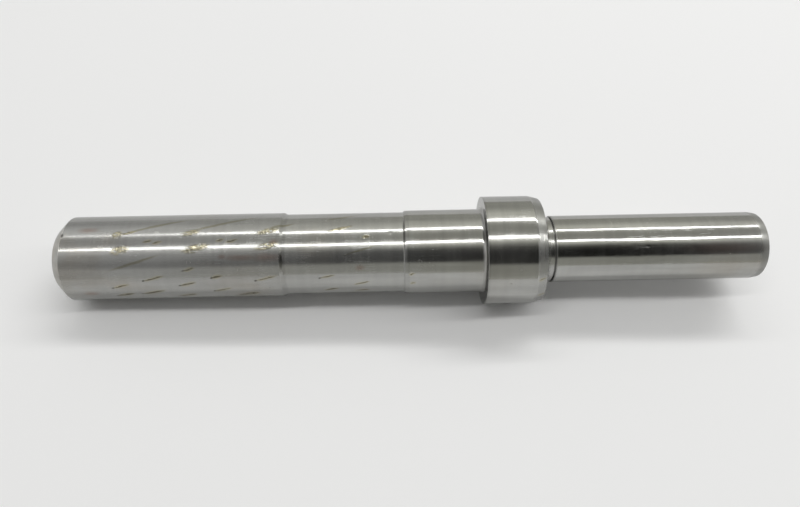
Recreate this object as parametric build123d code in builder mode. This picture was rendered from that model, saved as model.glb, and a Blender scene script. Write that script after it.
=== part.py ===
from build123d import *
from math import radians, tan
import os

# One turned and ground steel shaft. It stands on the chamfered end of its long seat:
# the origin is the centre of that end face and +Z runs along the axis to the journal's tip.
# All sizes are in millimetres.

# Diameters, from the foot of the shaft upwards
seat_diameter = 25.0
relief_diameter = 24.0
bearing_diameter = 25.0
collar_diameter = 32.5
neck_diameter = 19.4
groove_diameter = 18.4
journal_diameter = 20.0

# Axial lengths, in the same order
seat_length = 66.5
relief_length = 35.0
bearing_length = 23.5
collar_length = 17.0
neck_length = 3.5
journal_length = 62.0

# Chamfers and lead-ins: the axial length is given, and the angle to the axis
foot_chamfer = 3.0
seat_shoulder_angle = 30.0
bearing_lead_in_length = 0.8
bearing_lead_in_angle = 10.0
collar_lead_in_length = 3.2
collar_lead_in_angle = 15.0
journal_lead_in_length = 2.0
journal_lead_in_angle = 10.0

# Radii and edge breaks
shoulder_fillet = 1.2
relief_fillet = 0.25
neck_fillet = 0.4
journal_tip_fillet = 0.4
edge_break = 0.2

# The narrow groove that ends the neck, so that a grinding wheel can run out of the journal
groove_width = 0.5

# 60 degree centre holes, in which the shaft turns while it is ground
centre_pilot_diameter = 2.5
centre_pilot_depth = 6.0
centre_mouth_diameter = 5.3
centre_angle = 60.0

# Heights of the shoulders above the foot
seat_top = seat_length
relief_top = seat_top + relief_length
collar_base = relief_top + bearing_length
collar_top = collar_base + collar_length
neck_top = collar_top + neck_length
overall_length = neck_top + journal_length

# What the tapers take off the radius
seat_shoulder_height = (seat_diameter - relief_diameter) / 2
seat_shoulder_length = seat_shoulder_height / tan(radians(seat_shoulder_angle))
bearing_lead_in_height = bearing_lead_in_length * tan(radians(bearing_lead_in_angle))
collar_lead_in_height = collar_lead_in_length * tan(radians(collar_lead_in_angle))
journal_lead_in_height = journal_lead_in_length * tan(radians(journal_lead_in_angle))


def ring(body, diameter, height):
    """The circular edge of this diameter that lies at this height."""
    circles = body.edges().filter_by(GeomType.CIRCLE)
    level = circles.filter_by_position(Axis.Z, height - 0.01, height + 0.01)
    return level.filter_by(lambda edge: abs(edge.radius - diameter / 2) < 0.01)


with BuildPart() as stepped_shaft:
    # Half section, as the lathe leaves it, with the tapers that have a length of their own
    with BuildSketch(Plane.XZ) as half_section:
        with BuildLine():
            Polyline(
                (0, 0),
                (seat_diameter / 2, 0),
                (seat_diameter / 2, seat_top - seat_shoulder_length),
                (relief_diameter / 2, seat_top),
                (relief_diameter / 2, relief_top),
                (bearing_diameter / 2 - bearing_lead_in_height, relief_top),
                (bearing_diameter / 2, relief_top + bearing_lead_in_length),
                (bearing_diameter / 2, collar_base),
                (collar_diameter / 2, collar_base),
                (collar_diameter / 2, collar_top - collar_lead_in_length),
                (collar_diameter / 2 - collar_lead_in_height, collar_top),
                (neck_diameter / 2, collar_top),
                (neck_diameter / 2, neck_top - groove_width),
                (groove_diameter / 2, neck_top - groove_width),
                (groove_diameter / 2, neck_top),
                (journal_diameter / 2, neck_top),
                (journal_diameter / 2, overall_length - journal_lead_in_length),
                (journal_diameter / 2 - journal_lead_in_height, overall_length),
                (0, overall_length),
                close=True,
            )
        make_face()
    revolve(axis=Axis.Z)

    # Inside corners, rounded by the nose of the tool
    fillet(ring(stepped_shaft, bearing_diameter, collar_base), shoulder_fillet)
    fillet(ring(stepped_shaft, relief_diameter, relief_top), relief_fillet)
    fillet(ring(stepped_shaft, neck_diameter, collar_top), neck_fillet)

    # Outside corners at the two ends
    chamfer(ring(stepped_shaft, seat_diameter, 0), foot_chamfer)
    tip_diameter = journal_diameter - 2 * journal_lead_in_height
    fillet(ring(stepped_shaft, tip_diameter, overall_length), journal_tip_fillet)

    # Sharp edges of the collar, broken with a file
    collar_tip_diameter = collar_diameter - 2 * collar_lead_in_height
    chamfer(ring(stepped_shaft, collar_diameter, collar_base), edge_break)
    chamfer(ring(stepped_shaft, collar_tip_diameter, collar_top), edge_break)

    # Centre holes, one drilled into each end face
    end_faces = stepped_shaft.faces().filter_by(Plane.XY).sort_by(Axis.Z)
    with Locations(end_faces[0], end_faces[-1]):
        CounterSinkHole(
            radius=centre_pilot_diameter / 2,
            counter_sink_radius=centre_mouth_diameter / 2,
            depth=centre_pilot_depth,
            counter_sink_angle=centre_angle,
        )

stepped_shaft.part.label = "stepped_shaft"

os.makedirs("parts", exist_ok=True)
export_step(stepped_shaft.part, "parts/stepped_shaft.step")
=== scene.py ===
from math import atan2, cos, exp, pi, radians, sin, tan

import bpy
from mathutils import Matrix, Vector


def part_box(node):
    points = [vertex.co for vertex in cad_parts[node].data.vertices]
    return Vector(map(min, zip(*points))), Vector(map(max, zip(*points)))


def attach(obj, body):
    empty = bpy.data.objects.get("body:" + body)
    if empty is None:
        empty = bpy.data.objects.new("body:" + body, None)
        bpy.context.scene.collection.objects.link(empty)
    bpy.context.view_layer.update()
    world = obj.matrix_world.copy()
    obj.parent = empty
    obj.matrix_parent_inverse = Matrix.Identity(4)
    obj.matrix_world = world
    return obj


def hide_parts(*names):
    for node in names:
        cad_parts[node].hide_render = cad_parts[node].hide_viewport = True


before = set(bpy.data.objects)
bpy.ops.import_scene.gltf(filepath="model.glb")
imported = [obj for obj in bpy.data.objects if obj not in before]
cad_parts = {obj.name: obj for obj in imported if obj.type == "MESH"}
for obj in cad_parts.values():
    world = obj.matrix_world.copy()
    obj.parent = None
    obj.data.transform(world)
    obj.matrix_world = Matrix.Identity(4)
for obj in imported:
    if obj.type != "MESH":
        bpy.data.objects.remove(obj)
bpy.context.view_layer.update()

# The stepped shaft: one bar of steel, turned between centres and then ground. From the foot up it
# has a long seat, a relief, a bearing seat, a collar, a neck with a run-out groove, and a journal.
# It is a single loose piece. Heights are measured from the foot, and sizes are in millimetres.
mm = 0.001
seat_radius = 12.5
relief_radius = 12.0
collar_radius = 16.25
neck_radius = 9.7
groove_radius = 9.2
journal_radius = 10.0

seat_top = 66.5
relief_top = 101.5
collar_base = 125.0
collar_top = 142.0
groove_base = 145.0
neck_top = 145.5
tip = 207.5

foot_chamfer = 3.0
foot_edge_round = 0.12
seat_shoulder = 0.866
relief_fillet = 0.25
bearing_lead_in = 0.8
bearing_slope = tan(radians(10))
shoulder_fillet = 1.2
collar_edge_round = 0.1
collar_lead_in = 3.2
collar_slope = tan(radians(15))
neck_fillet = 0.4
neck_ridge = 0.08
journal_lead_in = 2.0
tip_round = 0.4
tip_round_centre = 9.312
# from the end face inwards: depth and radius
centre_hole = (
    (6.0, 0.0), (6.0, 1.2), (5.95, 1.25), (2.42, 1.25),
    (2.35, 1.295), (0.08, 2.604), (0.0, 2.66), (0.0, 2.75),
)
outline = []


def go(height, radius):
    """The next corner of the half section."""
    outline.append((height, radius))


def straight(height, radius, step):
    """Goes straight to a corner, with a ring of points at every step."""
    start_height, start_radius = outline[-1]
    rise = height - start_height
    spread = radius - start_radius
    count = max(1, round(abs(rise) / step))
    for number in range(1, count + 1):
        go(start_height + rise * number / count, start_radius + spread * number / count)


def rounded(centre_height, centre_radius, radius, start, end, steps):
    """An arc of the half section; the angles are measured from the radial direction."""
    for number in range(steps + 1):
        angle = radians(start + (end - start) * number / steps)
        go(centre_height + radius * sin(angle), centre_radius + radius * cos(angle))


# lower centre hole
for depth, radius in centre_hole:
    go(depth, radius)
# foot face, chamfer and long seat
go(0.0, seat_radius - foot_chamfer - 0.2)
rounded(foot_edge_round, seat_radius - foot_chamfer - 0.05, foot_edge_round, -90, -45, steps=3)
go(foot_chamfer - 0.2, seat_radius - 0.2)
rounded(foot_chamfer + 0.1, seat_radius - foot_edge_round, foot_edge_round, -45, 0, steps=3)
straight(foot_chamfer + 1.6, seat_radius, step=0.2)
straight(seat_top - 1.0, seat_radius, step=1.0)
go(seat_top - seat_shoulder, seat_radius)
# relief
go(seat_top, relief_radius)
go(seat_top + 0.1, relief_radius)
straight(relief_top - 5.0, relief_radius, step=1.0)
straight(relief_top - 3.0, relief_radius, step=0.25)
straight(relief_top - 0.4, relief_radius, step=1.0)
rounded(relief_top - relief_fillet, relief_radius + relief_fillet, relief_fillet, 180, 90, steps=3)
# bearing seat and its shoulder
go(relief_top, seat_radius - bearing_lead_in * bearing_slope)
go(relief_top + bearing_lead_in, seat_radius)
go(relief_top + 0.9, seat_radius)
straight(relief_top + 2.9, seat_radius, step=0.2)
straight(collar_base - 1.3, seat_radius, step=1.0)
shoulder_centre = seat_radius + shoulder_fillet
rounded(collar_base - shoulder_fillet, shoulder_centre, shoulder_fillet, 180, 90, steps=8)
# collar and its lead-in
go(collar_base, shoulder_centre + 0.1)
go(collar_base, collar_radius - 0.15)
rounded(collar_base + 0.1, collar_radius - 0.1, collar_edge_round, -90, 0, steps=3)
go(collar_base + 0.2, collar_radius)
straight(collar_base + 5.5, collar_radius, step=0.5)
straight(collar_base + 7.5, collar_radius, step=0.2)
straight(collar_top - collar_lead_in - 0.1, collar_radius, step=0.5)
go(collar_top - collar_lead_in, collar_radius)
go(collar_top - collar_lead_in + 0.1, collar_radius - 0.1 * collar_slope)
straight(collar_top - 0.3, collar_radius - (collar_lead_in - 0.3) * collar_slope, step=0.2)
go(collar_top - 0.193, collar_radius - (collar_lead_in - 0.193) * collar_slope)
go(collar_top, collar_radius - collar_lead_in * collar_slope - 0.2)
go(collar_top, collar_radius - collar_lead_in * collar_slope - 0.29)
# neck, with a low ridge that the tool left, and run-out groove
go(collar_top, neck_radius + neck_fillet + 0.1)
rounded(collar_top + neck_fillet, neck_radius + neck_fillet, neck_fillet, -90, -180, steps=4)
go(collar_top + 0.5, neck_radius)
go(collar_top + 1.5, neck_radius)
go(collar_top + 1.6, neck_radius + neck_ridge)
go(collar_top + 1.8, neck_radius + neck_ridge)
go(collar_top + 1.9, neck_radius)
go(groove_base - 0.05, neck_radius)
go(groove_base, neck_radius)
go(groove_base, groove_radius)
go(neck_top, groove_radius)
go(neck_top, journal_radius - 0.05)
# journal
go(neck_top + 0.05, journal_radius)
go(neck_top + 0.2, journal_radius)
straight(neck_top + 25.5, journal_radius, step=1.0)
straight(neck_top + 27.5, journal_radius, step=0.25)
straight(tip - journal_lead_in - 0.1, journal_radius, step=1.0)
go(tip - journal_lead_in, journal_radius)
rounded(tip - tip_round, tip_round_centre, tip_round, 10, 90, steps=5)
go(tip, tip_round_centre - 0.112)
# upper centre hole
for depth, radius in reversed(centre_hole):
    go(tip - depth, radius)

# dings: height, turn round the shaft in degrees, half height, half width and depth
dings = (
    (3.1, -89.5, 0.55, 0.6, 0.25), (140.6, -68.5, 0.4, 0.6, 0.05), (131.5, -22.0, 0.5, 0.5, 0.15),
    (97.5, -84.0, 0.5, 0.5, 0.05), (172.0, -57.0, 0.6, 0.35, 0.05), (103.4, -26.2, 0.45, 0.4, 0.06),
)


def dinged(height, radius, angle):
    """The radius left where something hard struck the surface."""
    for middle, turn, half_height, half_width, depth in dings:
        off = (height - middle) / half_height
        swing = (angle - radians(turn) + pi) % (2 * pi) - pi
        span = off * off + (swing * radius / half_width) ** 2
        if span < 4:
            radius -= depth * exp(-1.5 * span)
    return radius


sides = 256
points = []
faces = []
rings = []
for height, radius in outline:
    if radius == 0.0:
        rings.append([len(points)])
        points.append(Vector((0, 0, height * mm)))
        continue
    ring = []
    for side in range(sides):
        angle = 2 * pi * side / sides
        spoke = dinged(height, radius, angle)
        ring.append(len(points))
        points.append(Vector((spoke * cos(angle), spoke * sin(angle), height)) * mm)
    rings.append(ring)
for lower, upper in zip(rings, rings[1:]):
    for side in range(sides):
        after = (side + 1) % sides
        if len(lower) == 1:
            faces.append((lower[0], upper[after], upper[side]))
        elif len(upper) == 1:
            faces.append((lower[side], lower[after], upper[0]))
        else:
            faces.append((lower[side], lower[after], upper[after], upper[side]))
shaft_mesh = bpy.data.meshes.new("ground_shaft")
shaft_mesh.from_pydata(points, [], faces)
shaft_mesh.shade_smooth()
shaft_mesh.set_sharp_from_angle(angle=radians(28))
shaft = bpy.data.objects.new("ground_shaft", shaft_mesh)
bpy.context.scene.collection.objects.link(shaft)

steel = bpy.data.materials.new("ground_steel")
steel.use_nodes = True
steel_nodes = steel.node_tree.nodes
steel_links = steel.node_tree.links
steel_face = steel_nodes["Principled BSDF"]
steel_face.inputs["Specular Tint"].default_value = (0.78, 0.78, 0.78, 1)
steel_face.inputs["Anisotropic"].default_value = 0.5
steel_face.inputs["Anisotropic Rotation"].default_value = 0.25
grain = steel_nodes.new("ShaderNodeTangent")
grain.direction_type = "RADIAL"
grain.axis = "Z"
steel_links.new(grain.outputs["Tangent"], steel_face.inputs["Tangent"])
place = steel_nodes.new("ShaderNodeTexCoord").outputs["Object"]
split = steel_nodes.new("ShaderNodeSeparateXYZ")
steel_links.new(place, split.inputs["Vector"])


def feed(socket, value):
    """Sets a socket, or links it to what works the value out."""
    if isinstance(value, (int, float, tuple)):
        socket.default_value = value
    else:
        steel_links.new(value, socket)


def arithmetic(kind, first, second=0.0, third=0.0):
    """One step of arithmetic over the surface."""
    node = steel_nodes.new("ShaderNodeMath")
    node.operation = kind
    feed(node.inputs[0], first)
    feed(node.inputs[1], second)
    feed(node.inputs[2], third)
    return node.outputs["Value"]


def times(first, second):
    """One value multiplied by another."""
    return arithmetic("MULTIPLY", first, second)


def larger(first, second):
    """The larger of two values."""
    return arithmetic("MAXIMUM", first, second)


def offset(value, middle):
    """How far a value is from the middle, to either side."""
    return arithmetic("ABSOLUTE", arithmetic("SUBTRACT", value, middle))


def more(base, value, share):
    """The base, raised by a share of the value."""
    return arithmetic("MULTIPLY_ADD", value, share, base)


def fade(value, start, end, low=0.0, high=1.0):
    """Runs smoothly from low to high while the value goes from start to end."""
    node = steel_nodes.new("ShaderNodeMapRange")
    node.interpolation_type = "SMOOTHSTEP"
    feed(node.inputs["Value"], value)
    feed(node.inputs["From Min"], start)
    feed(node.inputs["From Max"], end)
    feed(node.inputs["To Min"], low)
    feed(node.inputs["To Max"], high)
    return node.outputs["Result"]


def clouds(scale, detail=2.0):
    """Soft noise from 0 to 1; the scale is the number of clouds in a metre each way."""
    stretch = steel_nodes.new("ShaderNodeMapping")
    stretch.inputs["Scale"].default_value = scale
    steel_links.new(place, stretch.inputs["Vector"])
    node = steel_nodes.new("ShaderNodeTexNoise")
    node.inputs["Scale"].default_value = 1.0
    node.inputs["Detail"].default_value = detail
    steel_links.new(stretch.outputs["Vector"], node.inputs["Vector"])
    return node.outputs["Fac"]


def blend(share, first, second, way="MIX"):
    """Lays the second colour over the first."""
    node = steel_nodes.new("ShaderNodeMix")
    node.data_type = "RGBA"
    node.blend_type = way
    feed(node.inputs["Factor"], share)
    feed(node.inputs["A"], first)
    feed(node.inputs["B"], second)
    return node.outputs["Result"]


height_here = times(split.outputs["Z"], 1 / mm)
turn_here = times(arithmetic("ARCTAN2", split.outputs["Y"], split.outputs["X"]), 180 / pi)

# Each length has its own finish: height where it starts, roughness, metal share and grey.
finishes = (
    (0.0, 0.42, 0.7, 0.5),  # foot face and chamfer
    (2.9, 0.3, 0.9, 0.42),  # edge of the chamfer
    (3.15, 0.185, 0.83, 0.365),  # long seat
    (65.55, 0.18, 0.95, 0.34),  # shoulder of the seat
    (66.5, 0.18, 0.93, 0.38),  # relief
    (101.2, 0.13, 0.98, 0.35),  # lead-in of the bearing seat
    (102.35, 0.15, 0.99, 0.385),  # bearing seat
    (123.75, 0.13, 0.97, 0.34),  # shoulder fillet
    (124.92, 0.2, 0.97, 0.27),  # lower face of the collar
    (125.15, 0.14, 0.98, 0.39),  # collar
    (138.8, 0.29, 0.96, 0.35),  # lead-in of the collar
    (142.0, 0.2, 0.97, 0.37),  # neck
    (144.98, 0.3, 0.9, 0.3),  # wall of the groove, made darker as painted shade in the groove
    (145.2, 0.2, 0.97, 0.38),  # floor of the groove
    (145.6, 0.125, 1.0, 0.395),  # journal
    (206.8, 0.35, 0.9, 0.24),  # rounded rim of the tip, made darker as a painted dark reflection
    (207.46, 0.4, 0.75, 0.4),  # tip face
)
finish = steel_nodes.new("ShaderNodeValToRGB")
finish.color_ramp.interpolation = "CONSTANT"
bands = finish.color_ramp.elements
while len(bands) < len(finishes):
    bands.new(0.5)
for band, (start, rough, metal, grey) in zip(bands, finishes):
    band.position = start / tip
    band.color = (rough, metal, grey, 1)
feed(finish.inputs["Fac"], arithmetic("DIVIDE", height_here, tip))
finish_split = steel_nodes.new("ShaderNodeSeparateColor")
steel_links.new(finish.outputs["Color"], finish_split.inputs["Color"])
finish_rough = finish_split.outputs["Red"]
finish_metal = finish_split.outputs["Green"]
finish_grey = finish_split.outputs["Blue"]

# Rub marks: a protective net pressed its knots and threads through the oil film, in slanting
# rows. Each mark has its height, its turn round the shaft in degrees, half length and half width.
knots = (
    (19.2, -88.7, 1.5, 1.25), (22.6, -91.5, 2.2, 0.45), (40.3, -89.7, 2.6, 1.0),
    (62.3, -90.2, 3.4, 0.95), (20.6, -66.9, 2.8, 1.3), (42.0, -67.7, 4.0, 1.15),
    (62.2, -68.7, 3.4, 1.0), (83.0, -93.2, 3.6, 0.55), (90.5, -79.2, 1.2, 0.6),
)
deep_scuffs = (
    (29.7, -27.4, 3.6, 0.28), (19.9, -15.9, 2.9, 0.24), (28.6, -2.4, 4.2, 0.45),
    (39.1, -17.4, 2.8, 0.4), (47.7, -28.2, 1.8, 0.36), (61.7, -24.4, 3.6, 0.2),
    (48.8, -5.4, 3.0, 0.28), (38.0, 7.8, 3.4, 0.7), (55.5, 8.2, 4.4, 0.95),
    (40.0, -39.7, 1.9, 0.26), (20.2, 2.3, 3.0, 0.55), (79.2, -23.4, 2.6, 0.22),
)
light_scuffs = (
    (89.0, -10.4, 2.8, 0.28), (80.0, 3.6, 2.6, 0.45), (89.0, 8.6, 2.6, 0.5),
    (103.5, -26.2, 0.9, 0.16), (103.8, -11.0, 0.9, 0.16), (140.4, -24.5, 1.2, 0.12),
    (140.9, -1.0, 1.2, 0.14), (28.2, -78.2, 1.5, 0.2), (31.0, -76.0, 1.6, 0.24),
    (48.8, -77.6, 1.2, 0.2), (52.2, -76.4, 2.0, 0.22),
)
threads = (
    (30.5, -103.5, 10.5, 0.6), (49.0, -104.5, 11.5, 0.6), (66.0, -99.0, 4.5, 0.6),
    (24.5, -49.5, 9.0, 0.5), (88.5, -60.0, 6.0, 0.35), (83.4, -117.0, 5.8, 0.5),
)
# bright nicks in the journal
nicks = (
    (168.5, -74.8, 3.2, 0.1), (179.5, -86.0, 2.4, 0.12), (184.5, -84.2, 2.2, 0.1),
    (189.0, -77.8, 2.4, 0.11), (175.0, -75.0, 3.0, 0.1), (171.5, -57.0, 1.1, 0.13),
    (191.0, -85.0, 1.4, 0.1),
)
# brown patches of old oil, except the long one by the journal's tip, which is a painted brown
# reflection lying in the journal's dark band
patches = (
    (62.4, -53.5, 4.6, 1.4), (49.6, -55.5, 1.3, 0.8), (55.0, -54.0, 5.0, 1.0),
    (64.2, -74.5, 1.5, 0.9), (10.5, -97.0, 3.2, 1.2), (88.7, -36.2, 1.6, 1.1),
    (10.5, -2.0, 2.6, 1.2), (193.0, -52.0, 14.0, 2.4),
)
# painted dark reflections: black laid into three inside corners, where the steel mirrors something
# dark
corner_dark_reflections = ((101.5, -84.0, 0.4, 5.4), (66.2, -47.0, 0.5, 2.4), (124.5, -77.0, 0.55, 2.2))
wobble = arithmetic("SUBTRACT", clouds((800, 800, 420)), 0.5)
around = more(times(wobble, 0.7), turn_here, radians(seat_radius))


def slanted(slant, length=1.0, width=1.0):
    """The unrolled surface in millimetres, turned so that a mark with this slant lies level."""
    level = steel_nodes.new("ShaderNodeCombineXYZ")
    from_turn = times(around, sin(slant) / length)
    feed(level.inputs["X"], more(from_turn, height_here, cos(slant) / length))
    from_turn = times(around, cos(slant) / width)
    feed(level.inputs["Y"], more(from_turn, height_here, -sin(slant) / width))
    return level.outputs["Vector"]


def nearest(surface, slant, marks):
    """How far out a point lies from the nearest of these ovals; the rim is at 1."""
    distance = 9.0
    for height, turn, half_length, half_width in marks:
        arc = radians(turn) * seat_radius
        centre_along = height * cos(slant) + arc * sin(slant)
        centre_across = arc * cos(slant) - height * sin(slant)
        scaled = steel_nodes.new("ShaderNodeVectorMath")
        scaled.operation = "MULTIPLY_ADD"
        steel_links.new(surface, scaled.inputs[0])
        scaled.inputs[1].default_value = (1 / half_length, 1 / half_width, 0)
        scaled.inputs[2].default_value = (-centre_along / half_length, -centre_across / half_width, 0)
        span = steel_nodes.new("ShaderNodeVectorMath")
        span.operation = "LENGTH"
        steel_links.new(scaled.outputs["Vector"], span.inputs[0])
        distance = arithmetic("MINIMUM", span.outputs["Value"], distance)
    return distance


net_slant = radians(-14)
thread_slant = radians(-17)
nick_slant = radians(-4)
net = slanted(net_slant)
knot = fade(nearest(net, net_slant, knots), 1.25, 0.5)
knot = times(knot, fade(clouds((1500, 1500, 800), detail=3.0), 0.36, 0.5))
# a scuff has a brassy halo, and the deep ones start at a black scar
scuffs = deep_scuffs + light_scuffs
halos = [(height, turn, length + 0.3, width + 0.45) for height, turn, length, width in scuffs]
scars = [(3.3, -89.5, 0.5, 0.5)]
for height, turn, length, width in deep_scuffs:
    scars.append((height - 0.85 * length, turn + 0.9 * length, 0.5, 0.3))
scuff = fade(nearest(net, net_slant, scuffs), 1.0, 0.45)
scuff_halo = fade(nearest(net, net_slant, halos), 1.0, 0.5)
scar = fade(nearest(net, net_slant, scars), 1.0, 0.5)
thread = fade(nearest(slanted(thread_slant), thread_slant, threads), 1.0, 0.5)
brown = fade(nearest(slanted(0), 0, patches), 1.3, 0.1)
# mask of the painted dark reflections in three corners
corner_dark_reflection = fade(nearest(slanted(0), 0, corner_dark_reflections), 1.2, 0.5)
curls = steel_nodes.new("ShaderNodeTexNoise")
curls.inputs["Scale"].default_value = 1.0
curls.inputs["Detail"].default_value = 1.5
curls.inputs["Distortion"].default_value = 0.8
steel_links.new(slanted(net_slant, 0.95, 0.5), curls.inputs["Vector"])
curl = fade(offset(curls.outputs["Fac"], 0.5), 0.07, 0.03)

# Behind and below, the same net left plainer marks: a knot every 10.5 mm along each thread, and
# 15 threads round the shaft. Chance moves, stretches or leaves out each mark.
knot_pitch = 10.5
threads_round = 15
along = arithmetic("DIVIDE", arithmetic("SUBTRACT", height_here, 20.0), knot_pitch)
knot_number = arithmetic("FLOOR", arithmetic("ADD", along, 0.5))
from_knot = times(arithmetic("SUBTRACT", along, knot_number), knot_pitch)
across = arithmetic("DIVIDE", arithmetic("ADD", turn_here, 90.2), 360 / threads_round)
across = more(across, along, 0.5)
thread_number = arithmetic("FLOOR", arithmetic("ADD", across, 0.5))
thread_pitch = 2 * pi * seat_radius / threads_round
from_thread = times(arithmetic("SUBTRACT", across, thread_number), thread_pitch)
knot_name = steel_nodes.new("ShaderNodeCombineXYZ")
feed(knot_name.inputs["X"], knot_number)
feed(knot_name.inputs["Y"], arithmetic("FLOORED_MODULO", thread_number, threads_round))
knot_chance = steel_nodes.new("ShaderNodeTexWhiteNoise")
steel_links.new(knot_name.outputs["Vector"], knot_chance.inputs["Vector"])
chance = steel_nodes.new("ShaderNodeSeparateColor")
steel_links.new(knot_chance.outputs["Color"], chance.inputs["Color"])
rub_along = more(from_knot, arithmetic("SUBTRACT", chance.outputs["Red"], 0.5), 2.5)
rub_across = more(from_thread, arithmetic("SUBTRACT", chance.outputs["Green"], 0.5), 0.9)
rub_across = arithmetic("ABSOLUTE", more(rub_across, wobble, 0.9))
rub_length = more(2.0, chance.outputs["Blue"], 1.4)
rub_share = arithmetic("DIVIDE", arithmetic("ABSOLUTE", rub_along), rub_length)
rub_line = times(fade(rub_across, 0.3, 0.1), fade(rub_share, 1.0, 0.6))
rub_halo = times(fade(rub_across, 0.9, 0.3), fade(rub_share, 1.1, 0.6))
seat_zone = times(fade(height_here, 13.0, 16.0), fade(height_here, 66.0, 65.3))
relief_zone = times(fade(height_here, 77.0, 79.0), fade(height_here, 101.0, 98.0))
behind = larger(fade(turn_here, 20.0, 32.0), fade(turn_here, -132.0, -140.0))
rub_zone = times(larger(seat_zone, relief_zone), behind)
rub_zone = times(rub_zone, fade(knot_chance.outputs["Value"], 0.3, 0.5))
trace = times(fade(arithmetic("ABSOLUTE", from_thread), 0.75, 0.1), rub_zone)
thread = larger(thread, times(trace, fade(clouds((90, 90, 70)), 0.5, 0.66)))
torn = fade(clouds((1100, 1100, 600), detail=3.0), 0.28, 0.42)
scuff = times(larger(scuff, times(rub_line, rub_zone)), torn)
halo = larger(scuff_halo, times(rub_halo, rub_zone))
halo = larger(times(halo, 0.6), knot)
dark_line = times(larger(scuff, times(knot, curl)), 0.85)

# Old oil stains the steel a little brown, most of all on the seat and at the journal's tip.
stain = fade(clouds((70, 70, 45), detail=4.0), 0.48, 0.7)
seat_stain = fade(height_here, 101.0, 60.0, 0.15, 0.55)
tip_stain = fade(height_here, 165.0, 200.0, 0.0, 0.5)
stain = times(stain, larger(seat_stain, tip_stain))

# Grinding leaves fine rings all the way round, and faint rubbing runs lengthways.
rings_fine = clouds((40, 40, 5200), detail=3.0)
rings_wide = clouds((14, 14, 520), detail=3.0)
rings_close = clouds((60, 60, 1900), detail=2.0)
rubbed = clouds((420, 420, 38), detail=3.0)
smears = clouds((260, 260, 200))

# Colour: bare steel first, then the stains and brown patches (one of them a painted brown
# reflection), the net's marks, and black over them: the scars, and painted dark reflections in three
# corners.
bare_yellowing = 0.962
stain_colour = (0.87, 0.8, 0.71, 1)
patch_colour = (0.84, 0.7, 0.65, 1)
thread_colour = (0.72, 0.69, 0.55, 1)
halo_colour = (1.12, 1.05, 0.8, 1)
line_colour = (0.07, 0.06, 0.038, 1)
scar_and_reflection_black = (0.03, 0.027, 0.02, 1)
grey = times(finish_grey, fade(rings_wide, 0.25, 0.75, 0.965, 1.035))
grey = times(grey, fade(rubbed, 0.25, 0.75, 0.92, 1.08))
grey = times(grey, fade(height_here, 204.3, 206.0, 1.0, 0.85))
bare = steel_nodes.new("ShaderNodeCombineColor")
feed(bare.inputs["Red"], grey)
feed(bare.inputs["Green"], grey)
feed(bare.inputs["Blue"], times(grey, bare_yellowing))
stained = blend(stain, bare.outputs["Color"], stain_colour, "MULTIPLY")
# the brown patches: old oil, and by the journal's tip a painted brown reflection
browned = blend(times(brown, 0.85), stained, patch_colour, "MULTIPLY")
traced = blend(times(thread, 0.8), browned, thread_colour, "MULTIPLY")
gilded = blend(halo, traced, halo_colour, "MULTIPLY")
lined = blend(dark_line, gilded, line_colour)
# black for the scars, and black painted into three corners as dark reflections
blackened = blend(larger(times(scar, 0.75), times(corner_dark_reflection, 0.62)), lined, scar_and_reflection_black)
feed(steel_face.inputs["Base Color"], blackened)

# Gloss: duller in the marks, smears and scratches, and towards the tip.
scratch = fade(offset(clouds((1300, 1300, 45), detail=1.0), 0.5), 0.02, 0.0)
scratch = times(scratch, fade(clouds((160, 160, 110)), 0.45, 0.65))
nick = fade(nearest(slanted(nick_slant), nick_slant, nicks), 1.1, 0.5)
scratch = more(scratch, nick, 1.8)
tip_dull = fade(height_here, 204.0, 206.4)
feed(steel_face.inputs["Metallic"], more(more(finish_metal, halo, -0.08), tip_dull, -0.14))
roughness = times(finish_rough, fade(rings_wide, 0.2, 0.8, 0.94, 1.08))
roughness = times(roughness, fade(rings_close, 0.25, 0.75, 0.86, 1.16))
roughness = more(roughness, fade(smears, 0.4, 0.65), 0.04)
roughness = more(roughness, halo, 0.03)
roughness = more(roughness, stain, 0.03)
roughness = more(roughness, scratch, 0.12)
roughness = more(roughness, tip_dull, 0.3)
feed(steel_face.inputs["Roughness"], roughness)

# Unevenness: grinding all over, more on the collar's lead-in, on the worn journal and in the knots.
on_lead_in = times(fade(height_here, 138.7, 139.0), fade(height_here, 142.1, 141.9))
worn = times(fade(height_here, 156.0, 166.0), fade(height_here, 197.0, 188.0, 0.0, 0.9))
worn = times(worn, fade(turn_here, -72.0, -64.0))
uneven = more(rings_fine, rings_wide, 1.2)
uneven = more(uneven, rubbed, 1.5)
uneven = more(uneven, smears, 4.0)
uneven = more(uneven, times(clouds((520, 520, 160)), worn), 18.0)
uneven = more(uneven, times(clouds((700, 700, 900)), on_lead_in), 8.0)
uneven = more(uneven, times(rings_close, on_lead_in), 16.0)
uneven = more(uneven, times(knot, curls.outputs["Fac"]), 26.0)
bump = steel_nodes.new("ShaderNodeBump")
bump.inputs["Strength"].default_value = 0.5
bump.inputs["Distance"].default_value = 0.004 * mm
feed(bump.inputs["Height"], uneven)
feed(steel_face.inputs["Normal"], bump.outputs["Normal"])
shaft_mesh.materials.append(steel)

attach(shaft, "root")
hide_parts("stepped_shaft")

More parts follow.
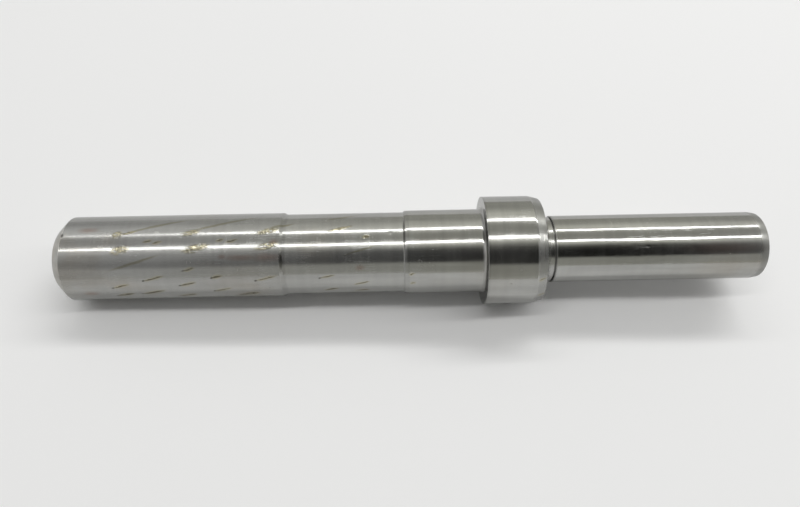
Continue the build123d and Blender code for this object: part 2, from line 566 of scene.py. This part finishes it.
# The table: a sheet of white paper on a flat top. The shaft lies on the rim of its collar and on
# the end edge of its long seat, so the paper leans by 1.75 degrees against the shaft's axis.
shaft_low, shaft_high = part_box("stepped_shaft")
towards_viewer = Vector((1, 0, 0))
rest_low_radius = seat_radius * mm
rest_low_height = shaft_low.z + foot_chamfer * mm
rest_high_radius = shaft_high.y
rest_high_height = shaft_low.z + (collar_base + collar_edge_round) * mm
table_lean = atan2(rest_high_radius - rest_low_radius, rest_high_height - rest_low_height)
off_table = Vector((0, -cos(table_lean), sin(table_lean)))
along_table = Vector((0, sin(table_lean), cos(table_lean)))
table_middle = Vector((0, rest_low_radius, rest_low_height))
table_half = 3.0

table_corners = [
    table_middle + (towards_viewer * side + along_table * end) * table_half
    for side, end in ((-1, -1), (1, -1), (1, 1), (-1, 1))
]
table_mesh = bpy.data.meshes.new("table")
table_mesh.from_pydata(table_corners, [], [(0, 1, 2, 3)])
table = bpy.data.objects.new("table", table_mesh)
bpy.context.scene.collection.objects.link(table)

# seen from below, the paper is clear, so that it doesn't hide the shaft
paper = bpy.data.materials.new("white_paper")
paper.use_nodes = True
paper_nodes = paper.node_tree.nodes
paper_links = paper.node_tree.links
paper_nodes.clear()
paper_face = paper_nodes.new("ShaderNodeBsdfDiffuse")
paper_face.inputs["Color"].default_value = (0.93, 0.93, 0.92, 1)
paper_back = paper_nodes.new("ShaderNodeBsdfTransparent")
paper_side = paper_nodes.new("ShaderNodeNewGeometry")
paper_mix = paper_nodes.new("ShaderNodeMixShader")
paper_out = paper_nodes.new("ShaderNodeOutputMaterial")
paper_links.new(paper_side.outputs["Backfacing"], paper_mix.inputs["Fac"])
paper_links.new(paper_face.outputs["BSDF"], paper_mix.inputs[1])
paper_links.new(paper_back.outputs["BSDF"], paper_mix.inputs[2])
paper_links.new(paper_mix.outputs["Shader"], paper_out.inputs["Surface"])
table_mesh.materials.append(paper)

# The lamps: two long ceiling tubes run nearly parallel to the shaft, one over it and one behind it,
# and the rear one is dim at one end. The two washes stand for the glow round the tubes: they light
# the paper, but the steel doesn't mirror them.
shaft_middle = Vector((0, 0, 100 * mm))
# name, reach, turn and skew in degrees, width, low and high end along the shaft, strength, mirrored
tubes = (
    ("rear_tube", 1.5, 121.5, 4.0, 0.08, -0.54, 1.2, 10.5, True),
    ("rear_end", 1.5, 121.5, 4.0, 0.08, -1.0, -0.56, 4.0, True),
    ("front_tube", 1.5, 82.4, 4.9, 0.088, -1.0, 2.8, 10.0, True),
    ("rear_wash", 1.8, 117.0, 4.0, 0.2, 0.0, 1.9, 6.7, False),
    ("front_wash", 1.8, 82.4, 4.9, 0.12, -1.0, 2.8, 1.9, False),
)
for name, reach, turn, skew, width, low_end, high_end, strength, mirrored in tubes:
    tube = bpy.data.lights.new(name, "AREA")
    tube.shape = "RECTANGLE"
    tube.size = width
    tube.size_y = high_end - low_end
    tube.energy = strength * pi * width * (high_end - low_end)
    lamp = bpy.data.objects.new(name, tube)
    bpy.context.scene.collection.objects.link(lamp)
    away = towards_viewer * cos(radians(turn)) + off_table * sin(radians(turn))
    tube_line = along_table * cos(radians(skew)) - towards_viewer * sin(radians(skew))
    back = (away - tube_line * away.dot(tube_line)).normalized()
    axes = Matrix((tube_line.cross(back), tube_line, back)).transposed()
    middle = shaft_middle + away * reach + tube_line * (low_end + high_end) / 2
    lamp.matrix_world = Matrix.Translation(middle) @ axes.to_4x4()
    lamp.visible_glossy = mirrored

# The room: a half drum over the table, seen only in the steel. It is painted as a grey ceiling with
# a bright strip behind the rear tube, and on the viewer's side with a black screen, which stands
# beside the collar and journal and thins out towards the foot.
room_radius = 2.0
room_half_length = 4.0
room_steps = 30
first_turn = -10
last_turn = 180
desk_edge = 0.08
room_arc = [(first_turn, towards_viewer * desk_edge)]
for step in range(room_steps + 1):
    turn = last_turn * step / room_steps
    spoke = towards_viewer * cos(radians(turn)) + off_table * sin(radians(turn))
    room_arc.append((turn, spoke * room_radius))
room_points = []
room_turns = []
for turn, spoke in room_arc:
    for end in (-1, 1):
        room_points.append(shaft_middle + spoke + along_table * end * room_half_length)
        room_turns.append(((turn - first_turn) / (last_turn - first_turn), (end + 1) / 2))
room_faces = [(2 * step, 2 * step + 1, 2 * step + 3, 2 * step + 2) for step in range(room_steps + 1)]
room_mesh = bpy.data.meshes.new("room")
room_mesh.from_pydata(room_points, [], room_faces)
room_turn = room_mesh.uv_layers.new(name="turn")
for face in room_mesh.polygons:
    for corner in face.loop_indices:
        room_turn.data[corner].uv = room_turns[room_mesh.loops[corner].vertex_index]
room = bpy.data.objects.new("room", room_mesh)
bpy.context.scene.collection.objects.link(room)
room.visible_camera = False
room.visible_diffuse = False
room.visible_shadow = False

room_paint = bpy.data.materials.new("room_paint")
room_paint.use_nodes = True
room_paint.cycles.emission_sampling = "NONE"
room_nodes = room_paint.node_tree.nodes
room_links = room_paint.node_tree.links
room_nodes.clear()
room_uv = room_nodes.new("ShaderNodeUVMap")
room_uv.uv_map = "turn"
room_split = room_nodes.new("ShaderNodeSeparateXYZ")
room_links.new(room_uv.outputs["UV"], room_split.inputs["Vector"])


def shade_ramp(source, start, end, stops, blue=1.0):
    """A grey that runs through these shades, each given with its place from start to end."""
    ramp = room_nodes.new("ShaderNodeValToRGB")
    marks = ramp.color_ramp.elements
    while len(marks) < len(stops):
        marks.new(0.5)
    for mark, (place, shade) in zip(marks, stops):
        mark.position = (place - start) / (end - start)
        mark.color = (shade, shade, shade * blue, 1)
    room_links.new(source, ramp.inputs["Fac"])
    return ramp.outputs["Color"]


# turn from the viewer's side of the table, in degrees, and shade
overhead_shades = (
    (82, 0.6), (90, 0.46), (106, 0.46), (112, 0.52), (128, 0.9), (140, 0.86), (148, 0.66),
    (154, 0.56), (160, 0.52), (180, 0.5),
)
ceiling_shades = (
    (-10, 0.8), (0, 0.66), (20, 0.62), (29, 0.42), (40, 0.42), (52, 0.6), (60, 0.62), (66, 0.88),
    (70, 1.05), (74, 0.78), (77.5, 0.95),
) + overhead_shades
screen_shades = (
    (-10, 0.54), (0, 0.43), (10, 0.42), (22, 0.42), (25, 0.36), (29.5, 0.02), (50, 0.016),
    (57, 0.04), (63, 0.09), (69, 0.3), (73, 0.58), (77.5, 0.92),
) + overhead_shades
# metres along the shaft from its middle, and how much of the ceiling the screen hides there
screen_reach = (
    (-4, 0.0), (-1.5, 0.02), (-0.92, 0.16), (-0.56, 0.62), (-0.3, 0.82), (0.1, 0.9),
    (0.35, 0.96), (0.65, 1.0), (0.86, 1.0), (0.98, 0.86), (1.07, 0.73), (1.2, 0.62),
    (1.35, 0.5), (1.9, 0.6), (2.1, 1.0), (3.2, 1.0), (4, 0.5),
)
ceiling = shade_ramp(room_split.outputs["X"], first_turn, last_turn, ceiling_shades)
screen = shade_ramp(room_split.outputs["X"], first_turn, last_turn, screen_shades, blue=0.9)
reach = shade_ramp(room_split.outputs["Y"], -room_half_length, room_half_length, screen_reach)
room_mix = room_nodes.new("ShaderNodeMix")
room_mix.data_type = "RGBA"
room_glow = room_nodes.new("ShaderNodeEmission")
room_out = room_nodes.new("ShaderNodeOutputMaterial")
room_links.new(reach, room_mix.inputs["Factor"])
room_links.new(ceiling, room_mix.inputs["A"])
room_links.new(screen, room_mix.inputs["B"])
room_links.new(room_mix.outputs["Result"], room_glow.inputs["Color"])
room_links.new(room_glow.outputs["Emission"], room_out.inputs["Surface"])
room_mesh.materials.append(room_paint)

# The screen's own card: black cloth that keeps daylight off the table on the viewer's side. The
# steel doesn't mirror it, because the room's paint already holds its soft image.
card_reach = 1.1
card_corners = []
for turn, end in ((20, -0.9), (20, 1.3), (60, 1.3), (60, -0.9)):
    spoke = towards_viewer * cos(radians(turn)) + off_table * sin(radians(turn))
    card_corners.append(shaft_middle + spoke * card_reach + along_table * end)
card_mesh = bpy.data.meshes.new("black_screen")
card_mesh.from_pydata(card_corners, [], [(0, 1, 2, 3)])
card = bpy.data.objects.new("black_screen", card_mesh)
bpy.context.scene.collection.objects.link(card)
card.visible_camera = False
card.visible_glossy = False
dark_cloth = bpy.data.materials.new("dark_cloth")
dark_cloth.use_nodes = True
cloth_face = dark_cloth.node_tree.nodes["Principled BSDF"]
cloth_face.inputs["Base Color"].default_value = (0.04, 0.04, 0.045, 1)
card_mesh.materials.append(dark_cloth)

# The daylight: a soft grey light from all round. Seen straight, in the steel or through glass it is
# pale, so that it joins the paper.
world = bpy.data.worlds.new("daylight")
bpy.context.scene.world = world
world.use_nodes = True
sky_nodes = world.node_tree.nodes
sky_links = world.node_tree.links
sky_nodes.clear()
sky_seen = sky_nodes.new("ShaderNodeBackground")
sky_seen.inputs["Color"].default_value = (0.84, 0.84, 0.83, 1)
sky_light = sky_nodes.new("ShaderNodeBackground")
sky_light.inputs["Color"].default_value = (0.375, 0.375, 0.375, 1)
sky_path = sky_nodes.new("ShaderNodeLightPath")
sky_glossy = sky_nodes.new("ShaderNodeMath")
sky_glossy.operation = "MAXIMUM"
sky_any = sky_nodes.new("ShaderNodeMath")
sky_any.operation = "MAXIMUM"
sky_mix = sky_nodes.new("ShaderNodeMixShader")
sky_out = sky_nodes.new("ShaderNodeOutputWorld")
sky_links.new(sky_path.outputs["Is Camera Ray"], sky_glossy.inputs[0])
sky_links.new(sky_path.outputs["Is Glossy Ray"], sky_glossy.inputs[1])
sky_links.new(sky_glossy.outputs["Value"], sky_any.inputs[0])
sky_links.new(sky_path.outputs["Is Transmission Ray"], sky_any.inputs[1])
sky_links.new(sky_any.outputs["Value"], sky_mix.inputs["Fac"])
sky_links.new(sky_light.outputs["Background"], sky_mix.inputs[1])
sky_links.new(sky_seen.outputs["Background"], sky_mix.inputs[2])
sky_links.new(sky_mix.outputs["Shader"], sky_out.inputs["Surface"])

# The camera: held about 0.2 m over the middle of the lying shaft, 57 degrees above the table. It is
# aimed a little past the shaft, and rolled so that the journal end climbs to the right.
view_angle = radians(57.2)
camera_roll = radians(1.18)
along_shaft = Vector((0, 0, 1))
facing_view = Vector((cos(view_angle), -sin(view_angle), 0))
above_view = Vector((-sin(view_angle), -cos(view_angle), 0))
shaft_foot = Vector((0, 0, shaft_low.z))
camera_place = shaft_foot + (along_shaft * 99.08 + facing_view * 197.92) * mm
camera_aim = shaft_foot + (along_shaft * 100.54 + above_view * 12.39) * mm

camera_data = bpy.data.cameras.new("camera")
camera_data.sensor_width = 36
camera_data.lens = 29.3
camera_data.shift_y = -0.053
camera_data.clip_start = 0.01
camera_data.clip_end = 50
camera = bpy.data.objects.new("camera", camera_data)
bpy.context.scene.collection.objects.link(camera)
sight = (camera_aim - camera_place).normalized()
upright = above_view * cos(camera_roll) + along_shaft * sin(camera_roll)
right = sight.cross(upright).normalized()
camera_axes = Matrix((right, right.cross(sight), -sight)).transposed()
camera.matrix_world = Matrix.Translation(camera_place) @ camera_axes.to_4x4()
bpy.context.scene.camera = camera
bpy.context.scene.view_settings.view_transform = "Standard"
